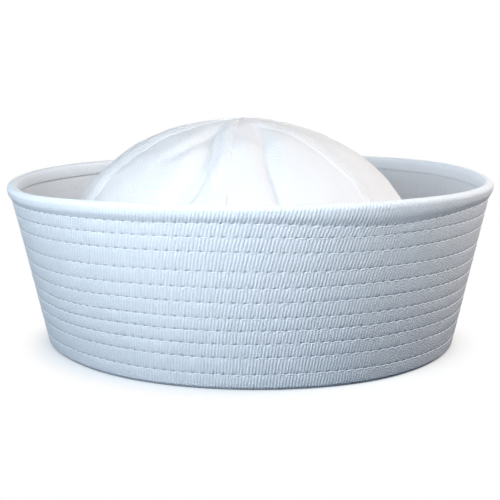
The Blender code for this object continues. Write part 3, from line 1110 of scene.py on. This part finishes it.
class CAP_OT_gores(bpy.types.Operator):
    """Make the six gores of the crown, each lapping over the next one"""

    bl_idname = "sailor_cap.gores"
    bl_label = "Crown: gores"

    def execute(self, context):
        form = crown_form(context.scene)
        material = twill_material(context.scene.cap_cloth)
        for index, place in enumerate(GORE_NAMES):
            name = "gore_" + place
            mesh = gore_mesh(name, form, form.sizes.first_seam + index * GORE_ANGLE)
            face_outwards(mesh)
            hand_over(add_object(name, mesh, material), "white_twill", "crown_" + name)
        return {"FINISHED"}


class CAP_OT_brim_stitches(bpy.types.Operator):
    """Sew the rows of stitching round both faces of the brim"""

    bl_idname = "sailor_cap.brim_stitches"
    bl_label = "Brim: stitching"

    def execute(self, context):
        scene = context.scene
        form, brim, stitches = brim_form(scene), scene.cap_brim, scene.cap_stitches
        run, thread, fine = stitches.brim_run, stitches.thread, stitches.fine_thread
        material = thread_material("brim_thread", tuple(scene.cap_cloth.thread))
        points = brim_stitch_points("outside", form, -brim.sink + 0.2 * thread, 1.0)
        name = "brim_stitches_outside"
        piece = sewn(points, name, stitches, material, run, thread, stitches.rise)
        hand_over(piece, "white_drill")
        material = thread_material("lining_thread", tuple(scene.cap_cloth.lining))
        points = brim_stitch_points("inside", form, form.inner_face + 0.55 * brim.sink, -1.0)
        name = "brim_stitches_inside"
        piece = sewn(points, name, stitches, material, run, fine, 0.3 * stitches.rise)
        hand_over(piece, "white_lining_cloth")
        return {"FINISHED"}


class CAP_OT_seam_stitches(bpy.types.Operator):
    """Topstitch the felled seams of the crown, in two rows each"""

    bl_idname = "sailor_cap.seam_stitches"
    bl_label = "Crown: topstitching"

    def execute(self, context):
        scene = context.scene
        stitches = scene.cap_stitches
        pitch, fine = stitches.seam_pitch, stitches.fine_thread
        material = thread_material("crown_thread", tuple(scene.cap_cloth.twill))
        points = seam_stitch_points("seams", crown_form(scene), pitch, fine)
        piece = sewn(points, "crown_topstitching", stitches, material, 0.72 * pitch, fine, 0.0)
        hand_over(piece, "white_twill")
        return {"FINISHED"}


def add_light(name, azimuth, elevation, reach, size, power, tint):
    """A round soft light, `reach` away from the middle of the cap and turned towards it."""
    turn, rise = math.radians(azimuth), math.radians(elevation)
    level = math.cos(rise)
    towards = Vector((math.sin(turn) * level, -math.cos(turn) * level, math.sin(rise)))
    light = bpy.data.lights.new(name, "AREA")
    light.shape, light.size, light.energy, light.color = "DISK", size, power, tint
    obj = new_object(name, light)
    obj.location = LIGHT_AIM + reach * towards
    obj.rotation_euler = (-towards).to_track_quat("-Z", "Y").to_euler()
    obj.visible_camera = False


def show_camera(tree, ending, thrown, seen):
    """Ends a tree in one shader for the light it throws and another for what the camera sees."""
    choice = put(tree, "ShaderNodeLightPath", output="Is Camera Ray")
    mix = put(tree, "ShaderNodeMixShader", {0: choice, 1: thrown, 2: seen})
    feed(tree.nodes[ending].inputs["Surface"], mix)


def floor_material(stage):
    """Pale floor that turns into plain white away from the cap, and throws back little light."""
    material, tree, shader = new_material(
        "studio_floor", Base_Color=shade(stage.floor), Roughness=0.9, Specular_IOR_Level=0.1
    )
    matt = Value(tree, shader.outputs[0])
    white = put(tree, "ShaderNodeEmission", {"Color": WHITE, "Strength": 1.0})
    place = put(tree, "ShaderNodeTexCoord", output="Object")
    away = put(tree, "ShaderNodeVectorMath", {0: place}, "Value", operation="LENGTH")
    # The light that the floor throws back is painted darker close to the cap, a painted contact
    # shade.
    tint = mixed(tree, shade(stage.contact), shade(stage.bounce), away.rise(0.12, 0.35))
    thrown = put(tree, "ShaderNodeBsdfDiffuse", {"Color": tint})
    seen = put(tree, "ShaderNodeMixShader", {0: away.rise(0.088, 0.114), 1: matt, 2: white})
    show_camera(tree, "Material Output", thrown, seen)
    return material


class CAP_OT_stage(bpy.types.Operator):
    """Make the floor, the soft studio lights and the camera"""

    bl_idname = "sailor_cap.stage"
    bl_label = "Stage"

    def execute(self, context):
        scene = context.scene
        stage = scene.cap_stage
        bm = bmesh.new()
        bmesh.ops.create_circle(bm, cap_ends=True, cap_tris=True, segments=96, radius=8.0)
        mesh = bpy.data.meshes.new("studio_floor")
        bm.to_mesh(mesh)
        bm.free()
        floor = add_object("studio_floor", mesh, floor_material(stage))

        scene.world = bpy.data.worlds.new("studio_sky")
        scene.world.use_nodes = True
        tree = scene.world.node_tree
        sky = tree.nodes["Background"]
        sky.inputs["Color"].default_value = (0.93, 0.96, 1.0, 1.0)
        sky.inputs["Strength"].default_value = stage.sky
        seen = put(tree, "ShaderNodeBackground", {"Color": WHITE, "Strength": 1.0})
        show_camera(tree, "World Output", Value(tree, sky.outputs[0]), seen)

        for name, azimuth, elevation, reach, size, power, tint in LIGHTS:
            add_light(name, azimuth, elevation, reach, size, power * stage.lights, tint)

        camera = bpy.data.cameras.new("camera")
        camera.sensor_width = SENSOR_WIDTH
        camera.lens = FOCAL_LENGTH / PHOTO_WIDTH * SENSOR_WIDTH
        camera.shift_x = SHIFT / PHOTO_WIDTH
        camera.clip_start = 0.01
        scene.camera = new_object("camera", camera)
        scene.camera.location = CAMERA_PLACE
        scene.camera.rotation_euler = (math.radians(90.0 - CAMERA_TILT), 0.0, 0.0)
        scene.view_settings.view_transform = "Standard"
        return {"FINISHED"}


class CAP_PT_panel(bpy.types.Panel):
    """Lists the steps that make the cap and its studio"""

    bl_idname = "CAP_PT_panel"
    bl_label = "Sailor Cap"
    bl_space_type = "VIEW_3D"
    bl_region_type = "UI"
    bl_category = "Sailor Cap"

    def draw(self, context):
        for operator in OPERATORS:
            self.layout.operator(operator.bl_idname)
        for name in SETTINGS:
            group = getattr(context.scene, name)
            box = self.layout.box()
            for key in group.__annotations__:
                box.prop(group, key)


OPERATORS = (
    CAP_OT_outer_cloth,
    CAP_OT_inner_cloth,
    CAP_OT_gores,
    CAP_OT_brim_stitches,
    CAP_OT_seam_stitches,
    CAP_OT_stage,
)
SETTINGS = {
    "cap_brim": BrimSettings,
    "cap_crown": CrownSettings,
    "cap_stitches": StitchSettings,
    "cap_cloth": ClothSettings,
    "cap_stage": StageSettings,
}


CLASSES = (*SETTINGS.values(), *OPERATORS, CAP_PT_panel)


def register():
    for kind in CLASSES:
        bpy.utils.register_class(kind)
    for name, group in SETTINGS.items():
        setattr(bpy.types.Scene, name, PointerProperty(type=group))


def unregister():
    for name in SETTINGS:
        delattr(bpy.types.Scene, name)
    for kind in reversed(CLASSES):
        bpy.utils.unregister_class(kind)


def main():
    register()
    bpy.ops.sailor_cap.outer_cloth()
    bpy.ops.sailor_cap.inner_cloth()
    bpy.ops.sailor_cap.gores()
    bpy.ops.sailor_cap.brim_stitches()
    bpy.ops.sailor_cap.seam_stitches()
    bpy.ops.sailor_cap.stage()


if __name__ == "__main__":
    main()
